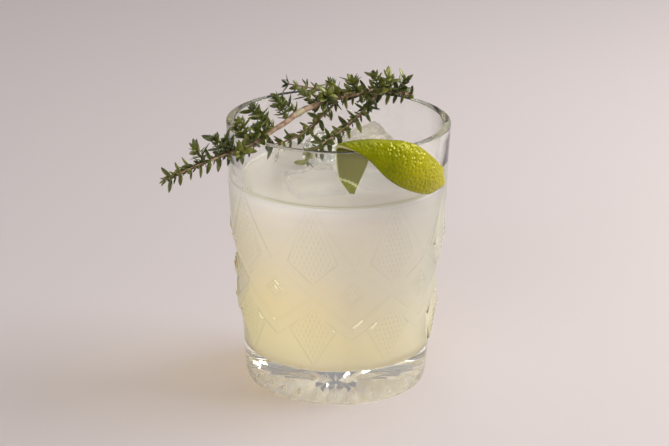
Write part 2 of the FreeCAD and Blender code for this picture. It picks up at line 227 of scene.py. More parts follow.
for height in np.linspace(glass_height - 0.0011, cavity_bend, 26):
    glass_rings.append(ring_at(cavity_radius(height), height))
for t in np.linspace(0.15, math.pi / 2, 7):
    inner = cavity_foot - floor_round * (1 - math.cos(t))
    glass_rings.append(ring_at(inner, cavity_bend - floor_round * math.sin(t)))
for share in (0.8, 0.6, 0.4, 0.2):
    glass_rings.append(ring_at((cavity_foot - floor_round) * share, base_top))
glass_rings.append(ring_at(on_axis, base_top))
tumbler = turned_mesh("tumbler", np.array(glass_rings))


def material(name, colour, roughness, **sockets):
    made = bpy.data.materials.new(name)
    made.use_nodes = True
    shader = made.node_tree.nodes["Principled BSDF"]
    shader.inputs["Base Color"].default_value = (*colour, 1)
    shader.inputs["Roughness"].default_value = roughness
    for socket, value in sockets.items():
        shader.inputs[socket.replace("_", " ")].default_value = value
    return made


def let_lamps_through(made, tint):
    """Clear pieces pass lamp light straight on, so what they hold is lit."""
    nodes, links = made.node_tree.nodes, made.node_tree.links
    path = nodes.new("ShaderNodeLightPath")
    clear = nodes.new("ShaderNodeBsdfTransparent")
    clear.inputs["Color"].default_value = (*tint, 1)
    mix = nodes.new("ShaderNodeMixShader")
    links.new(path.outputs["Is Shadow Ray"], mix.inputs[0])
    links.new(nodes["Principled BSDF"].outputs[0], mix.inputs[1])
    links.new(clear.outputs[0], mix.inputs[2])
    links.new(mix.outputs[0], nodes["Material Output"].inputs["Surface"])


def ramp(nodes, *stops):
    made = nodes.new("ShaderNodeValToRGB")
    while len(made.color_ramp.elements) < len(stops):
        made.color_ramp.elements.new(0.5)
    for element, (place, colour) in zip(made.color_ramp.elements, stops):
        element.position = place
        element.color = (*colour, 1)
    return made


def tinted(made, colour, by):
    """Multiplies a colour by another output, or by a plain tint."""
    nodes, links = made.node_tree.nodes, made.node_tree.links
    mix = nodes.new("ShaderNodeMix")
    mix.data_type = "RGBA"
    mix.blend_type = "MULTIPLY"
    mix.inputs["Factor"].default_value = 1
    links.new(colour, mix.inputs["A"])
    if isinstance(by, tuple):
        mix.inputs["B"].default_value = (*by, 1)
    else:
        links.new(by, mix.inputs["B"])
    return mix


def press_shade_marks(mesh):
    """Marks each point by how the outside bends: low in a groove, for painted shade, and 1 along a ridge,
    for a faint painted highlight.

    The lip is marked low at the two sides, where it is looked through lengthwise: partly the green of a
    long path through glass, partly painted shade.
    """
    spots = np.empty(len(mesh.vertices) * 3)
    mesh.vertices.foreach_get("co", spots)
    x, y, height = spots.reshape(-1, 3).T
    angle = np.arctan2(x, -y)
    step = 0.00035
    turn = step / lip_radius
    bend = -4 * pressed_outside(angle, height)
    for side, up in ((turn, 0), (-turn, 0), (0, step), (0, -step)):
        bend += pressed_outside(angle + side, height + up)
    pressed = np.hypot(x, y) > cavity_radius(height) + wall * 0.7
    pressed &= (height > pattern_low) & (height < pattern_high)
    sharpest_bend = 9000
    mark = np.where(pressed, np.clip(0.5 - bend / step ** 2 / sharpest_bend, 0.2, 1), 0.5)
    lip = smooth_step(height, glass_height - 0.0013, glass_height - 0.0007)
    mark -= lip * 0.5 * smooth_step(np.abs(x) / lip_radius, 0.55, 0.95)
    colours = np.ones((len(mark), 4))
    colours[:, :3] = mark[:, None]
    layer = mesh.color_attributes.new("press_shade_marks", "FLOAT_COLOR", "POINT")
    layer.data.foreach_set("color", colours.ravel())


press_shade_marks(tumbler.data)
clear_glass = material("clear_glass", (0.97, 0.985, 0.97), 0.0, Transmission_Weight=1.0, IOR=1.5)
let_lamps_through(clear_glass, (0.96, 0.97, 0.95))
nodes, links = clear_glass.node_tree.nodes, clear_glass.node_tree.links
# The glass's colour carries painted light and shade from the relief: darker in the grooves, a hair lighter
# on the ridges, darker at the two sides of the lip.
marks = nodes.new("ShaderNodeAttribute")
marks.attribute_name = "press_shade_marks"
relief_shade_tint = ramp(
    nodes,
    (0.0, (0.60, 0.63, 0.54)), (0.2, (0.83, 0.85, 0.79)),
    (0.5, (0.985, 0.99, 0.975)), (1.0, (1, 1, 1)),
)
links.new(marks.outputs["Color"], relief_shade_tint.inputs[0])
# Toward the silhouette the glass is tinted dark grey-green: partly the green of a long path through glass,
# partly painted shade for the dark surroundings seen through it there.
edge_on = nodes.new("ShaderNodeLayerWeight")
edge_on.inputs["Blend"].default_value = 0.5
grazing_share = nodes.new("ShaderNodeMapRange")
grazing_share.inputs["From Min"].default_value = 0.52
grazing_share.inputs["From Max"].default_value = 0.95
links.new(edge_on.outputs["Facing"], grazing_share.inputs["Value"])
edge_green_and_shade = tinted(clear_glass, relief_shade_tint.outputs[0], (0.33, 0.38, 0.28))
links.new(grazing_share.outputs[0], edge_green_and_shade.inputs["Factor"])
links.new(edge_green_and_shade.outputs["Result"], nodes["Principled BSDF"].inputs["Base Color"])
tumbler.data.materials.append(clear_glass)
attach(tumbler, "root")
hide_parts("glass")

# ------------------------------------------------------------------ drink
# Tequila, lime and orange liqueur shaken cloudy: pale and a little pink by the ice,
# yellower at the bottom. It wets the wall, so its skin reaches a hair into the glass,
# and it is one closed body that the lower parts of the ice stand in.
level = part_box("drink")[1].z
into_wall = 0.00025
climb = 0.0003
drink_rings = [ring_at(on_axis, base_top - into_wall)]
for share in (0.3, 0.6, 0.85, 1.0):
    drink_rings.append(ring_at((cavity_foot - floor_round) * share, base_top - into_wall))
for t in np.linspace(math.pi / 2, 0, 8):
    drink_rings.append(ring_at(
        cavity_foot - floor_round * (1 - math.cos(t)) + into_wall * math.cos(t),
        cavity_bend - (floor_round + into_wall) * math.sin(t),
    ))
for height in np.linspace(cavity_bend + 0.001, level + climb, 30):
    drink_rings.append(ring_at(cavity_radius(height) + into_wall, height))
edge_radius = cavity_radius(level)
for back in np.linspace(0.0, 0.004, 8):
    rise = climb * math.exp(-back / 0.0011)
    drink_rings.append(ring_at(edge_radius - back, level + rise))
for share in np.linspace(0.85, 0.1, 12):
    drink_rings.append(ring_at(edge_radius * share, level))
drink_rings.append(ring_at(on_axis, level))
every_fourth = np.array(drink_rings)[:, ::4]
drink = turned_mesh("drink_skin", every_fourth)

cloudy = material(
    "cloudy_margarita", (0.8, 0.72, 0.55), 0.12, IOR=1.34, Subsurface_Weight=1.0,
    Subsurface_Radius=(0.035, 0.033, 0.028), Subsurface_Scale=1.0,
)
nodes, links = cloudy.node_tree.nodes, cloudy.node_tree.links
place = nodes.new("ShaderNodeTexCoord")
parts = nodes.new("ShaderNodeSeparateXYZ")
links.new(place.outputs["Object"], parts.inputs[0])
drift = nodes.new("ShaderNodeTexNoise")
drift.inputs["Scale"].default_value = 26
drift.inputs["Detail"].default_value = 1.5
links.new(place.outputs["Object"], drift.inputs["Vector"])
tilt = nodes.new("ShaderNodeMath")
tilt.operation = "MULTIPLY_ADD"
tilt.inputs[1].default_value = 0.30
links.new(parts.outputs["X"], tilt.inputs[0])
links.new(parts.outputs["Z"], tilt.inputs[2])
wander = nodes.new("ShaderNodeMath")
wander.operation = "MULTIPLY_ADD"
wander.inputs[1].default_value = 0.03
links.new(drift.outputs["Fac"], wander.inputs[0])
links.new(tilt.outputs[0], wander.inputs[2])
share = nodes.new("ShaderNodeMapRange")
share.inputs["From Min"].default_value = 0.02
share.inputs["From Max"].default_value = 0.10
links.new(wander.outputs[0], share.inputs["Value"])
tint = ramp(
    nodes,
    (0.0, (0.84, 0.76, 0.52)), (0.28, (0.83, 0.75, 0.52)),
    (0.55, (0.77, 0.72, 0.61)), (1.0, (0.69, 0.65, 0.61)),
)
links.new(share.outputs[0], tint.inputs[0])
# Painted shade at the top of the drink: the colour darkens over the top 16 mm, turns dark in two thin
# lines where the surface meets the wall, and the top face itself is darkened.
top = nodes.new("ShaderNodeMapRange")
top.inputs["From Min"].default_value = level - 0.016
top.inputs["From Max"].default_value = level + 0.001
links.new(parts.outputs["Z"], top.inputs["Value"])
level_line_shade = (0.44, 0.43, 0.33)
surface = (0.66, 0.64, 0.62)
painted_top_shade = ramp(
    nodes,
    (0.0, (1, 1, 1)), (0.45, (0.95, 0.95, 0.98)), (0.8, (0.80, 0.80, 0.85)),
    (0.915, (0.62, 0.62, 0.67)), (0.925, level_line_shade), (0.937, level_line_shade),
    (0.9405, surface), (0.9425, surface), (0.95, level_line_shade),
)
links.new(top.outputs[0], painted_top_shade.inputs[0])
# Painted light on the underside: the drink's colour turns paler over its bottom millimetre, where little
# light reaches.
underside_share = nodes.new("ShaderNodeMapRange")
underside_share.inputs["From Min"].default_value = base_top + 0.0010
underside_share.inputs["From Max"].default_value = base_top + 0.0002
links.new(parts.outputs["Z"], underside_share.inputs["Value"])
underside_light = nodes.new("ShaderNodeMix")
underside_light.data_type = "RGBA"
underside_light.inputs["B"].default_value = (0.97, 0.96, 0.90, 1)
links.new(underside_share.outputs[0], underside_light.inputs["Factor"])
links.new(tint.outputs[0], underside_light.inputs["A"])
side_on = nodes.new("ShaderNodeMapRange")
side_on.inputs["From Min"].default_value = -edge_radius
side_on.inputs["From Max"].default_value = edge_radius
links.new(parts.outputs["X"], side_on.inputs["Value"])
shade = ramp(
    nodes,
    (0.0, (1.16, 1.16, 1.16)), (0.2, (1.08, 1.08, 1.08)), (0.45, (1, 1, 1)),
    (0.72, (0.84, 0.84, 0.84)), (1.0, (0.55, 0.56, 0.55)),
)
links.new(side_on.outputs[0], shade.inputs[0])
by_side = tinted(cloudy, underside_light.outputs["Result"], shade.outputs[0])
# multiplies in the painted shade at the top
top_shaded_colour = tinted(cloudy, by_side.outputs["Result"], painted_top_shade.outputs[0])
links.new(top_shaded_colour.outputs["Result"], nodes["Principled BSDF"].inputs["Base Color"])
let_lamps_through(cloudy, (0.72, 0.64, 0.49))
drink.data.materials.append(cloudy)
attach(drink, "root")
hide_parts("drink")

# ------------------------------------------------------------------ ice
# Clear machine-made cubes with melted corners and dented faces. Four stand out of the
# drink. A cracked shard full of white splits is frozen into the left one, where it meets
# the back one.


def mottled_group():
    """Noise over the surface as a mask, and as a tint from dark through middle to light."""
    group = bpy.data.node_groups.new("mottled", "ShaderNodeTree")
    for name, kind, way in (
        ("Place", "NodeSocketVector", "INPUT"), ("Scale", "NodeSocketFloat", "INPUT"),
        ("Detail", "NodeSocketFloat", "INPUT"), ("Low", "NodeSocketFloat", "INPUT"),
        ("Middle", "NodeSocketFloat", "INPUT"), ("High", "NodeSocketFloat", "INPUT"),
        ("Dark", "NodeSocketColor", "INPUT"), ("Medium", "NodeSocketColor", "INPUT"),
        ("Light", "NodeSocketColor", "INPUT"),
        ("Tint", "NodeSocketColor", "OUTPUT"), ("Mask", "NodeSocketFloat", "OUTPUT"),
    ):
        group.interface.new_socket(name=name, in_out=way, socket_type=kind)
    nodes, links = group.nodes, group.links
    given = nodes.new("NodeGroupInput").outputs
    result = nodes.new("NodeGroupOutput").inputs
    noise = nodes.new("ShaderNodeTexNoise")
    links.new(given["Place"], noise.inputs["Vector"])
    links.new(given["Scale"], noise.inputs["Scale"])
    links.new(given["Detail"], noise.inputs["Detail"])
    tint = given["Dark"]
    for low, high, colour in (("Low", "Middle", "Medium"), ("Middle", "High", "Light")):
        share = nodes.new("ShaderNodeMapRange")
        links.new(noise.outputs["Fac"], share.inputs["Value"])
        links.new(given[low], share.inputs["From Min"])
        links.new(given[high], share.inputs["From Max"])
        step = nodes.new("ShaderNodeMix")
        step.data_type = "RGBA"
        links.new(share.outputs[0], step.inputs["Factor"])
        links.new(tint, step.inputs["A"])
        links.new(given[colour], step.inputs["B"])
        tint = step.outputs["Result"]
    links.new(tint, result["Tint"])
    links.new(noise.outputs["Fac"], result["Mask"])
    return group


mottled = mottled_group()


def mottle(made, scale, detail, *stops):
    """Places the mottled group in a material; stops are (where, colour) from dark to light."""
    nodes, links = made.node_tree.nodes, made.node_tree.links
    place = nodes.new("ShaderNodeTexCoord")
    placed_group = nodes.new("ShaderNodeGroup")
    placed_group.node_tree = mottled
    links.new(place.outputs["Object"], placed_group.inputs["Place"])
    placed_group.inputs["Scale"].default_value = scale
    placed_group.inputs["Detail"].default_value = detail
    sockets = (("Low", "Dark"), ("Middle", "Medium"), ("High", "Light"))
    for (where, colour), (level_of, named) in zip(stops, sockets):
        placed_group.inputs[level_of].default_value = where
        placed_group.inputs[named].default_value = (*colour, 1)
    return placed_group


def dimple(made, height, strength, deep):
    """Bumps a material's surface by a mask."""
    nodes, links = made.node_tree.nodes, made.node_tree.links
    bump = nodes.new("ShaderNodeBump")
    bump.inputs["Strength"].default_value = strength
    bump.inputs["Distance"].default_value = deep
    links.new(height, bump.inputs["Height"])
    links.new(bump.outputs[0], nodes["Principled BSDF"].inputs["Normal"])


ice_clear = material("clear_ice", (0.95, 0.965, 0.96), 0.1, Transmission_Weight=1.0, IOR=1.31)
let_lamps_through(ice_clear, (0.94, 0.95, 0.94))
dimple(ice_clear, mottle(ice_clear, 230, 4).outputs["Mask"], 0.8, 0.0014)


def melted(name, source):
    """A block with its corners rounded and its faces dented, as melting does."""
    made = bmesh.new()
    made.from_mesh(source)
    bmesh.ops.remove_doubles(made, verts=made.verts, dist=1e-6)
    mesh = bpy.data.meshes.new(name)
    made.to_mesh(mesh)
    made.free()
    thing = bpy.data.objects.new(name, mesh)
    bpy.context.scene.collection.objects.link(thing)
    remesh = thing.modifiers.new("even", "REMESH")
    remesh.mode = "VOXEL"
    remesh.voxel_size = 0.0007
    soften = thing.modifiers.new("soften", "SMOOTH")
    soften.iterations = 20
    soften.factor = 0.6
    grain = bpy.data.textures.new(name + "_dents", "CLOUDS")
    grain.noise_scale = 0.008
    dents = thing.modifiers.new("dents", "DISPLACE")
    dents.texture = grain
    dents.texture_coords = "LOCAL"
    dents.strength = 0.0016
    dents.mid_level = 0.75
    graph = bpy.context.evaluated_depsgraph_get()
    mesh = bpy.data.meshes.new_from_object(thing.evaluated_get(graph))
    thing.modifiers.clear()
    thing.data = mesh
    mesh.polygons.foreach_set("use_smooth", [True] * len(mesh.polygons))
    return thing


for name in ("ice_back", "ice_left", "ice_front", "ice_right"):
    cube = melted(name + "_cube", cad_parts[name].data)
    cube.data.materials.clear()
    cube.data.materials.append(ice_clear)
    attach(cube, "root")
    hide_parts(name)

shard_middle = Vector((-0.0058, 0.0135, level + 0.0055))
shard_half = Vector((0.0066, 0.0058, 0.0086))
made = bmesh.new()
bmesh.ops.create_icosphere(made, subdivisions=5, radius=1)
for vert in made.verts:
    around = vert.co.normalized()
    rough = 1 + 0.10 * math.sin(5 * around.x + 3 * around.z) + 0.07 * math.sin(9 * around.y - 4 * around.z)
    vert.co = around * shard_half * rough + shard_middle
shard_mesh = bpy.data.meshes.new("ice_shard")
made.to_mesh(shard_mesh)
made.free()
shard_mesh.polygons.foreach_set("use_smooth", [True] * len(shard_mesh.polygons))
shard = bpy.data.objects.new("ice_shard", shard_mesh)
bpy.context.scene.collection.objects.link(shard)
shard.data.materials.append(ice_clear)
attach(shard, "root")

crack_dice = np.random.default_rng(5)
crack_reach = np.array((0.0052, 0.0045, 0.0070))
crack_points, crack_faces = [], []
for n in range(420):
    way = crack_dice.normal(size=3)
    way /= np.linalg.norm(way)
    middle = np.array(shard_middle) + way * crack_reach * crack_dice.uniform(0.1, 0.95) ** 0.6
    a = crack_dice.normal(size=3)
    a *= crack_dice.uniform(0.0003, 0.0011) / np.linalg.norm(a)
    b = np.cross(a, crack_dice.normal(size=3))
    b *= crack_dice.uniform(0.0002, 0.0007) / np.linalg.norm(b)
    start = len(crack_points)
    crack_points.extend([middle - a, middle - b * 0.6, middle + a, middle + b])
    crack_faces.append((start, start + 1, start + 2, start + 3))
crack_mesh = bpy.data.meshes.new("ice_cracks")
crack_mesh.from_pydata([tuple(v) for v in crack_points], [], crack_faces)
cracks = bpy.data.objects.new("ice_cracks", crack_mesh)
bpy.context.scene.collection.objects.link(cracks)
cracks.data.materials.append(material("white_cracks", (0.86, 0.86, 0.84), 0.4))
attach(cracks, "root")

# ------------------------------------------------------------------ lime peel
# A strip of lime zest on a thin layer of pith, cut by hand. It starts inside the glass,
# turns over the lip on the slant and hangs down outside, bellied as the fruit was.
peel_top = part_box("lime_peel")[1].z

# each station gives the near and the far edge as (degrees round, walls out from the
# middle of the lip, mm over the lip), then how far the strip bellies out in mm
peel_stations = [
    ((6.3, -1.25, -15.0), (9.0, -1.25, -15.2), 0.0),
    ((1.2, -1.25, -10.2), (12.4, -1.25, -10.2), 0.5),
    ((-0.5, -1.20, -5.4), (15.6, -1.20, -5.4), 0.7),
    ((-1.0, -1.15, -1.0), (18.2, -1.15, -1.0), 0.8),
    ((-1.2, -0.70, 2.2), (21.5, -0.62, 2.4), 0.8),
    ((0.4, 0.05, 3.7), (24.9, -0.05, 3.9), 0.9),
    ((5.6, 0.80, 3.2), (28.3, 0.40, 4.1), 1.1),
    ((11.6, 1.24, 1.0), (33.4, 0.75, 3.9), 1.5),
    ((16.8, 1.38, -2.8), (38.2, 0.95, 2.7), 1.9),
    ((22.2, 1.40, -7.4), (42.8, 1.12, 0.6), 2.2),
    ((30.1, 1.35, -12.0), (48.2, 1.22, -2.8), 2.3),
    ((41.8, 1.30, -16.2), (55.4, 1.28, -7.4), 2.0),
    ((53.5, 1.25, -18.6), (61.8, 1.28, -12.0), 1.2),
]


def round_glass(degrees_round, walls_out, over_lip):
    angle = math.radians(degrees_round)
    radius = lip_middle + walls_out * wall
    return np.array([radius * math.sin(angle), -radius * math.cos(angle), glass_height + over_lip / 1000])


def eased_rows(rows, count):
    """A smooth curve through the stations (Catmull-Rom)."""
    rows = np.array(rows)
    padded = np.concatenate([2 * rows[:1] - rows[1:2], rows, 2 * rows[-1:] - rows[-2:-1]])
    out = []
    for s in np.linspace(0, len(rows) - 1, count):
        i = min(int(s), len(rows) - 2)
        t = s - i
        a, b, c, d = padded[i:i + 4]
        curve = (2 * a - 5 * b + 4 * c - d) * t ** 2 + (3 * b - a - 3 * c + d) * t ** 3
        out.append(0.5 * (2 * b + (c - a) * t + curve))
    return np.array(out)


long_count, wide_count = 96, 36
near_rail = eased_rows([round_glass(*a) for a, b, belly in peel_stations], long_count)
far_rail = eased_rows([round_glass(*b) for a, b, belly in peel_stations], long_count)
station_bellies = [belly / 1000 for a, b, belly in peel_stations]
last_station = len(peel_stations) - 1
stations_along = np.linspace(0, last_station, long_count)
bellies = np.interp(stations_along, range(last_station + 1), station_bellies)
centre = (near_rail + far_rail) / 2
along = np.gradient(centre, axis=0)
out_way = np.cross(along, far_rail - near_rail)
out_way /= np.linalg.norm(out_way, axis=1)[:, None]
run_out_from = 0.945
run_out = np.clip((np.linspace(0, 1, long_count) - run_out_from) / 0.055, 0, 0.9)
narrow = (1 - np.sqrt(1 - run_out ** 2)) * 0.5
near_rail, far_rail = (
    near_rail + (far_rail - near_rail) * narrow[:, None],
    far_rail + (near_rail - far_rail) * narrow[:, None],
)
t = np.linspace(0, 1, wide_count)[None, :, None]
sheet = near_rail[:, None] * (1 - t) + far_rail[:, None] * t
sheet = sheet + out_way[:, None] * (bellies[:, None, None] * 4 * t * (1 - t))
normal = np.cross(np.gradient(sheet, axis=0), np.gradient(sheet, axis=1))
normal /= np.linalg.norm(normal, axis=2)[:, :, None]
half_thick = 0.00078
rim_round = np.minimum(1, np.minimum(t, 1 - t) * 24) ** 0.5
zest_side = sheet + normal * half_thick * (0.45 + 0.55 * rim_round)
pith_side = sheet - normal * half_thick
points = np.concatenate([zest_side.reshape(-1, 3), pith_side.reshape(-1, 3)])
points[:, 2] += peel_top - points[:, 2].max()
faces, kinds = [], []
zest_kind, pith_kind, cut_kind = 0, 1, 2
total = long_count * wide_count


def at(i, j):
    return i * wide_count + j


for i in range(long_count - 1):
    for j in range(wide_count - 1):
        faces.append((at(i, j), at(i + 1, j), at(i + 1, j + 1), at(i, j + 1)))
        kinds.append(zest_kind)
        faces.append(tuple(total + v for v in (at(i, j), at(i, j + 1), at(i + 1, j + 1), at(i + 1, j))))
        # the back of the inner end is given zest up to a cut edge, as if that end were curled right over
        curled = 8.5 - 5.0 * j / wide_count - i
        kinds.append(zest_kind if curled > 0.8 else cut_kind if curled > -0.8 else pith_kind)
    for j in (0, wide_count - 1):
        faces.append((at(i, j), total + at(i, j), total + at(i + 1, j), at(i + 1, j)))
        kinds.append(cut_kind)
for i in (0, long_count - 1):
    for j in range(wide_count - 1):
        faces.append((at(i, j), at(i, j + 1), total + at(i, j + 1), total + at(i, j)))
        kinds.append(cut_kind)
mesh = bpy.data.meshes.new("lime_strip")
mesh.from_pydata(points.tolist(), [], faces)
mesh.polygons.foreach_set("material_index", kinds)
mesh.polygons.foreach_set("use_smooth", [True] * len(faces))
mesh.update()
lime = bpy.data.objects.new("lime_strip", mesh)
bpy.context.scene.collection.objects.link(lime)
tidy = bmesh.new()
tidy.from_mesh(mesh)
bmesh.ops.recalc_face_normals(tidy, faces=tidy.faces)
tidy.to_mesh(mesh)
tidy.free()

zest = material(
    "lime_zest", (0.3, 0.38, 0.01), 0.25, Specular_IOR_Level=0.5, Specular_Tint=(1.0, 0.95, 0.12, 1)
)
nodes, links = zest.node_tree.nodes, zest.node_tree.links
patches = mottle(
    zest, 55, 3,
    (0.25, (0.09, 0.12, 0.001)), (0.5, (0.22, 0.235, 0.001)), (0.78, (0.40, 0.36, 0.003)),
)
place = nodes.new("ShaderNodeTexCoord")
parts = nodes.new("ShaderNodeSeparateXYZ")
links.new(place.outputs["Object"], parts.inputs[0])
# The zest turns yellower and lighter toward the right, partly its own yellower end and partly a painted
# highlight where the right window catches it.
yellow_and_lit_share = nodes.new("ShaderNodeMapRange")
yellow_and_lit_share.inputs["From Min"].default_value = lip_radius * 0.45
yellow_and_lit_share.inputs["From Max"].default_value = lip_radius * 0.95
yellow_and_lit_share.inputs["To Max"].default_value = 0.75
links.new(parts.outputs["X"], yellow_and_lit_share.inputs["Value"])
yellow_and_highlight = nodes.new("ShaderNodeMix")
yellow_and_highlight.data_type = "RGBA"
yellow_and_highlight.inputs["B"].default_value = (0.47, 0.40, 0.002, 1)
links.new(yellow_and_lit_share.outputs[0], yellow_and_highlight.inputs["Factor"])
links.new(patches.outputs["Tint"], yellow_and_highlight.inputs["A"])
links.new(yellow_and_highlight.outputs["Result"], nodes["Principled BSDF"].inputs["Base Color"])
pores = nodes.new("ShaderNodeTexVoronoi")
pores.inputs["Scale"].default_value = 700
links.new(place.outputs["Object"], pores.inputs["Vector"])
pits = nodes.new("ShaderNodeMapRange")
pits.inputs["From Max"].default_value = 0.6
links.new(pores.outputs["Distance"], pits.inputs["Value"])
dimple(zest, pits.outputs[0], 0.75, 0.0005)
# The pith side is coloured dark olive, painted shade for where it lies in shadow; the pith itself is pale,
# as the cut edge shows.
pith = material("lime_pith_shaded", (0.175, 0.165, 0.018), 0.7, Specular_IOR_Level=0.15)
cut_edge = material("lime_cut_edge", (0.55, 0.54, 0.25), 0.5)
for one in (zest, pith, cut_edge):
    lime.data.materials.append(one)
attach(lime, "root")
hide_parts("lime_peel")

# ------------------------------------------------------------------ thyme sprig
# A woody stem laid across the lip, arched in the middle, with thinner branches and
# short green shoots. Small leaves sit in crossed pairs with tufts in their corners.
sprig_low, sprig_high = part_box("thyme_sprig")
stem_radius = 0.00105
stem_sink = 0.00084
leaf_length = 0.0052

# stem points are (x and y in lip radii, mm over the lip, share of the thickest stem),
# and shoots are (place along the stem, which way they grow, length in mm)
main_stem = [
    (-1.426, -1.548, -2.1, 0.30), (-1.233, -1.336, -0.9, 0.42), (-1.038, -1.119, 0.0, 0.52),
    (-0.900, -0.971, 0.4, 0.62), (-0.795, -0.855, 0.8, 0.70), (-0.698, -0.745, 1.5, 0.78),
    (-0.590, -0.629, 3.6, 0.84), (-0.464, -0.488, 5.6, 0.92), (-0.338, -0.350, 7.9, 1.0),
    (-0.167, -0.160, 9.0, 1.0), (-0.033, -0.014, 9.4, 1.0), (0.100, 0.131, 9.0, 0.95),
    (0.233, 0.281, 8.2, 0.90), (0.417, 0.483, 6.6, 0.82), (0.560, 0.638, 4.0, 0.75),
    (0.640, 0.729, 1.75, 0.66), (0.678, 0.771, 1.3, 0.6),
]
branches = [
    [(0.352, 0.412, 7.1, 0.66), (0.236, 0.181, 2.6, 0.6), (0.100, -0.083, 0.2, 0.5),
     (0.014, -0.255, -0.7, 0.42), (-0.117, -0.510, -1.3, 0.34), (-0.200, -0.676, -1.9, 0.28),
     (-0.262, -0.775, -5.2, 0.2)],
    [(-0.012, 0.010, 9.4, 0.5), (-0.071, -0.048, 6.0, 0.42), (-0.200, -0.214, 2.5, 0.36),
     (-0.336, -0.429, 0.2, 0.32), (-0.464, -0.524, -1.0, 0.28), (-0.560, -0.570, -1.6, 0.2)],
    [(0.0, 0.024, 9.3, 0.5), (-0.119, 0.062, 11.5, 0.42), (-0.240, 0.048, 12.4, 0.36),
     (-0.348, 0.062, 13.0, 0.3), (-0.452, 0.083, 13.5, 0.2)],
]
shoots = [
    (1.6, (-0.5, 0.2, 0.8), 5), (2.6, (-0.55, 0.0, 0.8), 6), (3.4, (-0.7, -0.3, 0.5), 6),
    (4.0, (-0.2, -0.8, -0.1), 6), (4.5, (-0.35, 0.15, 0.9), 7), (5.0, (-0.8, 0.25, 0.45), 8),
    (5.4, (-0.3, -0.5, 0.6), 5), (5.9, (-0.5, 0.3, 0.8), 8), (6.4, (-0.8, 0.35, 0.25), 8),
    (7.2, (-0.5, 0.3, 0.8), 7), (7.9, (-0.75, 0.25, 0.5), 8), (8.7, (-0.5, 0.3, 0.6), 6),
    (9.4, (0.1, -0.6, 0.7), 4), (10.4, (-0.5, 0.3, 0.6), 5), (11.4, (-0.4, 0.2, 0.7), 4.5),
    (12.0, (0.2, -0.5, -0.7), 7), (12.7, (-0.2, 0.3, 0.7), 4.5), (13.2, (0.1, -0.2, 0.8), 5),
    (13.9, (0.45, -0.3, 0.65), 5.5),
]
dice = np.random.default_rng(11)
sprig_points, sprig_faces, sprig_kinds = [], [], []
bark_kind, shoot_kind, leaf_kind, scar_kind = 0, 1, 2, 3


def add_part(points, faces, kind):
    """Adds a mesh to the sprig; its kind picks the material."""
    start = sum(len(p) for p in sprig_points)
    sprig_points.append(np.asarray(points))
    sprig_faces.extend([tuple(start + v for v in face) for face in faces])
    sprig_kinds.extend([kind] * len(faces))


def unit(v):
    v = np.asarray(v, float)
    return v / max(np.linalg.norm(v), 1e-12)


def add_stem(path, kind, sides=10, rough=0.08):
    centres, radii = path[:, :3], path[:, 3]
    ways = np.gradient(centres, axis=0)
    rings = []
    for p, r, way in zip(centres, radii, ways):
        way = unit(way)
        side = unit(np.cross(way, (0.13, 0.21, 1)))
        up = np.cross(side, way)
        turns = np.arange(sides) * 2 * math.pi / sides
        swell = r * (1 + rough * dice.uniform(-1, 1, sides) + 0.5 * rough * dice.uniform(-1, 1))
        around = side[None] * np.cos(turns)[:, None] + up[None] * np.sin(turns)[:, None]
        rings.append(p + around * swell[:, None])
    points = np.concatenate(rings + [centres[:1], centres[-1:]])
    faces = []
    n = len(rings)
    for i in range(n - 1):
        for k in range(sides):
            m = (k + 1) % sides
            faces.append((i * sides + k, i * sides + m, (i + 1) * sides + m, (i + 1) * sides + k))
    for k in range(sides):
        m = (k + 1) % sides
        faces.append((n * sides, m, k))
        faces.append((n * sides + 1, (n - 1) * sides + k, (n - 1) * sides + m))
    add_part(points, faces, kind)


leaf_rows, leaf_cols = 7, 4


def add_leaf(root, way, flat, length, width, curl, kind):
    """A pointed blade folded along its midrib, its edges rolled under."""
    way = unit(way)
    side = unit(np.cross(way, flat))
    up = np.cross(side, way)
    s = np.linspace(0, 1, leaf_rows)[:, None]
    t = np.linspace(-1, 1, leaf_cols + 1)[None]
    half = width * (np.sin(np.pi * s ** 0.8) ** 0.65 + 0.08 * (1 - s))
    bow = curl * length * (s * s)
    fold = 0.32 * half * (np.abs(t) - 1.1 * t * t)
    along_blade = way * (length * s)[..., None]
    grid = root + along_blade + side * (half * t)[..., None] + up * (fold - bow)[..., None]
    thick = 0.00016 * (1 - t * t * 0.6) * np.sin(np.pi * np.clip(s, 0.06, 0.97))
    upper = grid + up * thick[..., None]
    lower = grid - up * thick[..., None]
    points = np.concatenate([upper.reshape(-1, 3), lower.reshape(-1, 3)])
    row, many = leaf_cols + 1, leaf_rows * (leaf_cols + 1)
    faces = []
    for i in range(leaf_rows - 1):
        for j in range(leaf_cols):
            a = i * row + j
            faces.append((a, a + 1, a + row + 1, a + row))
            faces.append((many + a, many + a + row, many + a + row + 1, many + a + 1))
        a, b = i * row, i * row + leaf_cols
        faces.append((a, a + row, many + a + row, many + a))
        faces.append((b, many + b, many + b + row, b + row))
    for a in (0, (leaf_rows - 1) * row):
        for j in range(leaf_cols):
            faces.append((a + j, many + a + j, many + a + j + 1, a + j + 1))
    add_part(points, faces, kind)


def clear_of_wall(p):
    """Which side of the glass a point is on, or None if it is in the glass."""
    r = math.hypot(p[0], p[1])
    if p[2] > glass_height + 0.0003:
        return "over"
    if r < cavity_radius(p[2]) - 0.0006:
        return "in"
    if r > lip_radius + 0.0006:
        return "out"
    return None


def placed(path):
    return np.array([
        (x * lip_radius, y * lip_radius, glass_height + z / 1000 - stem_sink, share * stem_radius)
        for x, y, z, share in path
    ])


main = placed(main_stem)
main_rows = eased_rows(main, 90)
add_stem(main_rows, bark_kind, 12, 0.10)

# a pale swollen knot where the branches leave the top of the arch
knot = main_rows[42:47].copy()
knot[:, 3] *= (0.85, 1.1, 1.22, 1.14, 0.85)
add_stem(knot, scar_kind, 12, 0.06)

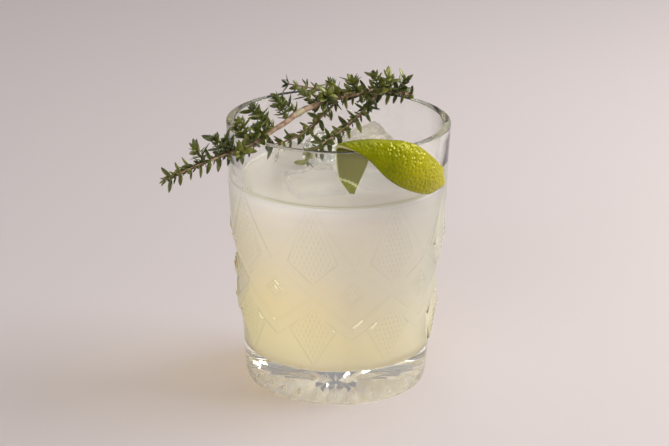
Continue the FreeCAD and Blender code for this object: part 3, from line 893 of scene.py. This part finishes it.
# leafy holds each leafy stem, the spacing of its pairs and the size of its leaves
leafy = []
for path in branches:
    stem = eased_rows(placed(path), 40)
    add_stem(stem, bark_kind, 8, 0.08)
    leafy.append((stem, 0.0036, 1.0))
for where, way, length in shoots:
    i = min(int(where), len(main) - 2)
    root = main[i] + (main[i + 1] - main[i]) * (where - i)
    way = unit(way)
    bend = np.array([*dice.uniform(-0.2, 0.2, 2), 0.15])
    stem = np.array([
        (*root[:3], 0.0004), (*(root[:3] + way * length * 0.0005), 0.00034),
        (*(root[:3] + (way + bend) * length * 0.001), 0.00022),
    ])
    stem = eased_rows(stem, 12)
    add_stem(stem, shoot_kind, 7, 0.08)
    leafy.append((stem, 0.0019, 1.0))
leafy.append((eased_rows(main[6::-1], 40), 0.0024, 0.95))
leafy.append((eased_rows(main[:8:-1], 40), 0.0022, 1.0))
box_low = np.array(sprig_low) + 0.0002
box_high = np.array(sprig_high) - 0.0002
for stem, spacing, scale in leafy:
    steps = np.linalg.norm(np.diff(stem[:, :3], axis=0), axis=1)
    run = np.concatenate([[0], np.cumsum(steps)])
    count = max(3, int(run[-1] / spacing))
    quarter = dice.uniform(0, math.pi)
    for n in range(count + 1):
        where = run[-1] * (n + 0.5) / (count + 0.6)
        root = np.array([np.interp(where, run, stem[:, k]) for k in range(4)])
        ahead = np.array([np.interp(where + 0.0004, run, stem[:, k]) for k in range(3)])
        behind = np.array([np.interp(where - 0.0004, run, stem[:, k]) for k in range(3)])
        way = unit(ahead - behind)
        side = unit(np.cross(way, (0.3, 0.1, 1)))
        up = np.cross(side, way)
        quarter += math.pi / 2 + dice.uniform(-0.4, 0.4)
        at_tip = n >= count - 1
        leaves = [(quarter, 1.0, 0.5), (quarter + math.pi, 1.0, 0.5)]
        for extra in range(4):
            turn = quarter + extra * math.pi / 2 + dice.uniform(-0.5, 0.5)
            leaves.append((turn, dice.uniform(0.35, 0.7), 1.2))
        if at_tip:
            leaves += [(dice.uniform(0, 6.28), dice.uniform(0.5, 0.8), 1.9) for _ in range(4)]
        for turn, share, lean in leaves:
            outward = side * math.cos(turn) + up * math.sin(turn)
            lean = lean * dice.uniform(0.7, 1.5)
            grow = unit(outward + way * lean)
            length = leaf_length * scale * share * dice.uniform(0.75, 1.12)
            base = root[:3] + outward * root[3] * 0.7
            tip = base + grow * length
            spots = {clear_of_wall(base), clear_of_wall(base + grow * length * 0.6), clear_of_wall(tip)}
            if None in spots or {"in", "out"} <= spots:
                continue
            if (tip < box_low).any() or (tip > box_high).any():
                continue
            facing = unit(way - outward * 0.4 + dice.uniform(-0.35, 0.35, 3))
            width = length * dice.uniform(0.16, 0.22)
            add_leaf(base, grow, facing, length, width, dice.uniform(-0.05, 0.22), leaf_kind)

points = np.concatenate(sprig_points)
mesh = bpy.data.meshes.new("thyme")
mesh.from_pydata(points.tolist(), [], sprig_faces)
mesh.polygons.foreach_set("material_index", sprig_kinds)
mesh.polygons.foreach_set("use_smooth", [True] * len(sprig_faces))
mesh.update()
thyme = bpy.data.objects.new("thyme", mesh)
bpy.context.scene.collection.objects.link(thyme)

bark = material("thyme_bark", (0.24, 0.13, 0.07), 0.7)
fibre = mottle(
    bark, 420, 4,
    (0.3, (0.15, 0.08, 0.045)), (0.5, (0.31, 0.19, 0.12)), (0.72, (0.48, 0.36, 0.24)),
)
nodes, links = bark.node_tree.nodes, bark.node_tree.links
links.new(fibre.outputs["Tint"], nodes["Principled BSDF"].inputs["Base Color"])
dimple(bark, fibre.outputs["Mask"], 0.5, 0.0003)
green_stem = material("thyme_green_stem", (0.14, 0.17, 0.05), 0.55)
leaf_green = material("thyme_leaf", (0.05, 0.09, 0.02), 0.38, Coat_Weight=0.15)
blade = mottle(
    leaf_green, 190, 2,
    (0.30, (0.030, 0.040, 0.004)), (0.50, (0.10, 0.12, 0.015)), (0.72, (0.29, 0.29, 0.055)),
)
nodes, links = leaf_green.node_tree.nodes, leaf_green.node_tree.links
links.new(blade.outputs["Tint"], nodes["Principled BSDF"].inputs["Base Color"])
scar = material("thyme_scar", (0.36, 0.31, 0.18), 0.6)
for one in (bark, green_stem, leaf_green, scar):
    thyme.data.materials.append(one)
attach(thyme, "root")
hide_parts("thyme_sprig")

# ------------------------------------------------------------------ table and light
# A plain pale tabletop that runs on out of sight, in a bright room. A soft window
# stands to the right, a wide one hangs high behind and a low one is in front at left.
floor_mesh = bpy.data.meshes.new("tabletop")
reach = 6.0
corners = [(-reach, -reach, 0), (reach, -reach, 0), (reach, reach, 0), (-reach, reach, 0)]
floor_mesh.from_pydata(corners, [], [(0, 1, 2, 3)])
tabletop = bpy.data.objects.new("tabletop", floor_mesh)
bpy.context.scene.collection.objects.link(tabletop)
tabletop.data.materials.append(material("pale_tabletop", (0.58, 0.525, 0.52), 0.5))

world = bpy.data.worlds.new("room")
bpy.context.scene.world = world
world.use_nodes = True
nodes, links = world.node_tree.nodes, world.node_tree.links
place = nodes.new("ShaderNodeTexCoord")
parts = nodes.new("ShaderNodeSeparateXYZ")
links.new(place.outputs["Generated"], parts.inputs[0])
sky = ramp(nodes, (0.0, (0.86, 0.84, 0.83)), (0.2, (0.60, 0.59, 0.60)), (0.7, (0.74, 0.73, 0.76)))
links.new(parts.outputs["Z"], sky.inputs[0])
links.new(sky.outputs[0], nodes["Background"].inputs["Color"])
nodes["Background"].inputs["Strength"].default_value = 0.43


def window(name, spot, size, power, colour):
    """A soft rectangular light that faces the drink."""
    lamp = bpy.data.lights.new(name, "AREA")
    lamp.shape = "RECTANGLE"
    lamp.size, lamp.size_y = size
    lamp.energy = power
    lamp.color = colour
    made = bpy.data.objects.new(name, lamp)
    made.location = spot
    made.rotation_mode = "QUATERNION"
    made.rotation_quaternion = (Vector((0, 0, 0.06)) - made.location).to_track_quat("-Z", "Y")
    bpy.context.scene.collection.objects.link(made)


window("window_right", Vector((0.80, 0.17, 0.58)), (0.8, 0.42), 11.4, (1.0, 0.97, 0.93))
window("window_above", Vector((0.15, 0.35, 1.3)), (0.9, 0.9), 4.1, (1.0, 0.97, 0.96))
window("window_front", Vector((-0.45, -1.0, 0.60)), (0.7, 0.4), 4.8, (1.0, 0.98, 0.96))

# ------------------------------------------------------------------ camera
# Looks down on the drink from the front at about 20 degrees through a long lens, as
# someone standing a step back from the table would, turned a hair about its own axis.
lens_height, lens_back = 0.33933, 0.78788
camera_data = bpy.data.cameras.new("camera")
camera_data.sensor_width = 36
camera_data.lens = 118.4
camera = bpy.data.objects.new("camera", camera_data)
bpy.context.scene.collection.objects.link(camera)
camera.location = (0, -lens_back, lens_height)
look = Vector((-0.0011, 0, 0.0605)) - camera.location
camera.rotation_mode = "QUATERNION"
camera.rotation_quaternion = look.to_track_quat("-Z", "Y") @ Quaternion((0, 0, 1), 0.0107)
bpy.context.scene.camera = camera
bpy.context.scene.view_settings.view_transform = "Standard"
